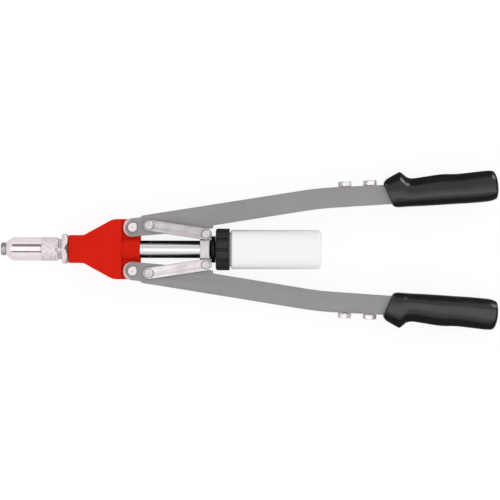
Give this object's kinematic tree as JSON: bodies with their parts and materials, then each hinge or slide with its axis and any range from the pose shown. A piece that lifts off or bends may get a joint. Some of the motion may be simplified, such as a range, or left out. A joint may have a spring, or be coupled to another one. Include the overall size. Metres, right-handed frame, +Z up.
{
  "type": "hand riveter",
  "caption": "Two-hand long-arm blind riveter with red cast body, lever-and-link pull mechanism, steel nose, collecting bottle and black grips.",
  "frame": {"origin": "bottom centre of the bounding box: under the middle of the length, in the plane of symmetry", "axes": "+X along the tool axis from nose to grips, +Y towards the upper handle, +Z up, normal to the plane the handles swing in"},
  "size_m": [0.5318, 0.1706, 0.0448],
  "materials": {
    "red_paint": "semi-gloss red powder coat",
    "grey_paint": "satin grey paint",
    "machined_steel": "turned and ground steel",
    "chrome": "polished chrome",
    "zinc_plate": "bright zinc plate",
    "bronze": "plain bearing bronze",
    "spring_steel": "oiled spring steel",
    "black_plastic": "moulded black plastic",
    "black_grip": "soft black grip compound",
    "white_plastic": "blow-moulded natural polyethylene"
  },
  "bodies": {
    "head": {"body_casting": "red_paint", "jaw_housing": "machined_steel", "nosepiece": "machined_steel", "lock_nut": "machined_steel", "guide_bush": "bronze", "upper_pivot_pin": "zinc_plate", "lower_pivot_pin": "zinc_plate"},
    "pull_rod": {"pull_tube": "chrome", "jaw_case": "machined_steel", "crosshead": "zinc_plate", "bottle_collar": "black_plastic", "jaw_spring": "spring_steel", "upper_crosshead_rivet": "zinc_plate", "lower_crosshead_rivet": "zinc_plate"},
    "jaw_pusher": {"jaw_pusher": "machined_steel"},
    "jaw_1": {"jaw_1": "machined_steel"},
    "jaw_2": {"jaw_2": "machined_steel"},
    "jaw_3": {"jaw_3": "machined_steel"},
    "bottle_cap": {"bottle_cap": "black_plastic"},
    "bottle": {"bottle": "white_plastic"},
    "upper_arm": {"upper_arm_channel": "grey_paint", "upper_grip_bar": "machined_steel", "upper_grip": "black_grip", "upper_bolt_front": "zinc_plate", "upper_bolt_rear": "zinc_plate"},
    "upper_link": {"upper_link_front": "zinc_plate", "upper_link_back": "zinc_plate", "upper_link_rivet": "zinc_plate"},
    "lower_arm": {"lower_arm_channel": "grey_paint", "lower_grip_bar": "machined_steel", "lower_grip": "black_grip", "lower_bolt_front": "zinc_plate", "lower_bolt_rear": "zinc_plate"},
    "lower_link": {"lower_link_front": "zinc_plate", "lower_link_back": "zinc_plate", "lower_link_rivet": "zinc_plate"}
  },
  "joints": [
    {"name": "upper_arm_pivot", "type": "hinge", "parent": "head", "child": "upper_arm", "pos_m": [-0.12515, 0.0234, 0.0224], "axis": [0, 0, 1], "range_deg": [0, 60]},
    {"name": "lower_arm_pivot", "type": "hinge", "parent": "head", "child": "lower_arm", "pos_m": [-0.12515, -0.0234, 0.0224], "axis": [0, 0, 1], "range_deg": [-60, 0]},
    {"name": "pull_slide", "type": "slide", "parent": "head", "child": "pull_rod", "axis": [-1, 0, 0], "range_m": [0, 0.0148]},
    {"name": "upper_link_pivot", "type": "hinge", "parent": "pull_rod", "child": "upper_link", "pos_m": [-0.04675, 0.0164, 0.0224], "axis": [0, 0, 1], "range_deg": [-13.8, 0]},
    {"name": "lower_link_pivot", "type": "hinge", "parent": "pull_rod", "child": "lower_link", "pos_m": [-0.04675, -0.0164, 0.0224], "axis": [0, 0, 1], "range_deg": [0, 13.8]},
    {"name": "jaw_pusher_slide", "type": "slide", "parent": "pull_rod", "child": "jaw_pusher", "axis": [1, 0, 0], "range_m": [0, 0.003], "stiffness_N_per_m": 1500, "springref_m": -0.003, "deforming": ["jaw_spring"]},
    {"name": "jaw_1_slide", "type": "slide", "parent": "pull_rod", "child": "jaw_1", "axis": [0.9848, 0.1736, 0], "range_m": [0, 0.00306]},
    {"name": "jaw_2_slide", "type": "slide", "parent": "pull_rod", "child": "jaw_2", "axis": [0.9848, -0.0868, 0.1504], "range_m": [0, 0.00306]},
    {"name": "jaw_3_slide", "type": "slide", "parent": "pull_rod", "child": "jaw_3", "axis": [0.9848, -0.0868, -0.1504], "range_m": [0, 0.00306]},
    {"name": "cap_turn", "type": "hinge", "parent": "pull_rod", "child": "bottle_cap", "pos_m": [-0.02915, 0, 0.0224], "axis": [1, 0, 0], "continuous": true},
    {"name": "bottle_pull", "type": "slide", "parent": "bottle_cap", "child": "bottle", "axis": [1, 0, 0], "range_m": [0, 0.04]}
  ],
  "couplings": [
    {"joint": "lower_arm_pivot", "follows": "upper_arm_pivot", "ratio": -1},
    {"joint": "pull_slide", "follows": "upper_arm_pivot", "m_per_rad": 0.014088},
    {"joint": "upper_link_pivot", "follows": "upper_arm_pivot", "ratio": -0.22853},
    {"joint": "lower_link_pivot", "follows": "upper_arm_pivot", "ratio": 0.22853},
    {"joint": "jaw_1_slide", "follows": "jaw_pusher_slide", "ratio": 1.0154},
    {"joint": "jaw_2_slide", "follows": "jaw_pusher_slide", "ratio": 1.0154},
    {"joint": "jaw_3_slide", "follows": "jaw_pusher_slide", "ratio": 1.0154}
  ]
}
